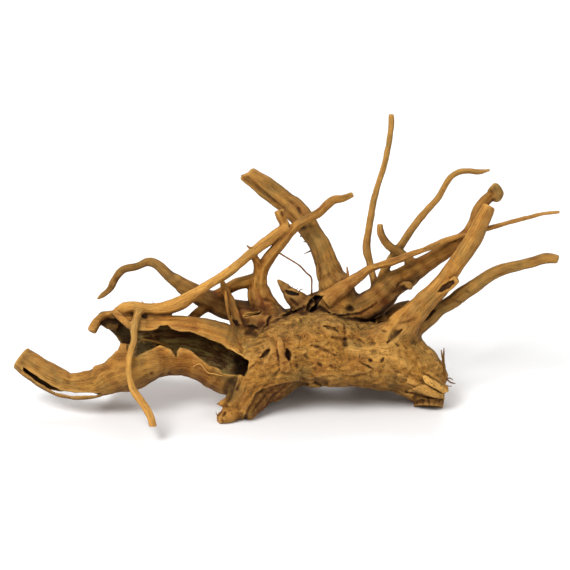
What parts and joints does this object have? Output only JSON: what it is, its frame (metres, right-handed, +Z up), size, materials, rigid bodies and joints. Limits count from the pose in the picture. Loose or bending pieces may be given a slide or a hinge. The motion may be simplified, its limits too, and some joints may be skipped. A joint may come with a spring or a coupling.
{
  "type": "spiderwood root",
  "caption": "Dry spiderwood root grown as one piece: a knotted burl on four short feet, a hollow trunk at one side and bent, tapering limbs and twigs spreading from it.",
  "frame": {"origin": "middle of the root's outline on the floor it rests on, so z = 0 is the floor under its four feet", "axes": "+X to the right along the root's length as the picture shows it, -Y to the front, +Z up"},
  "size_m": [0.5445, 0.2682, 0.2656],
  "materials": {
    "weathered_wood": "bare dry wood, matte, golden brown with lengthwise grain, darker and pitted on the burl and nearly black in its hollows"
  },
  "bodies": {
    "root": {"spiderwood_root": "weathered_wood"}
  },
  "joints": []
}
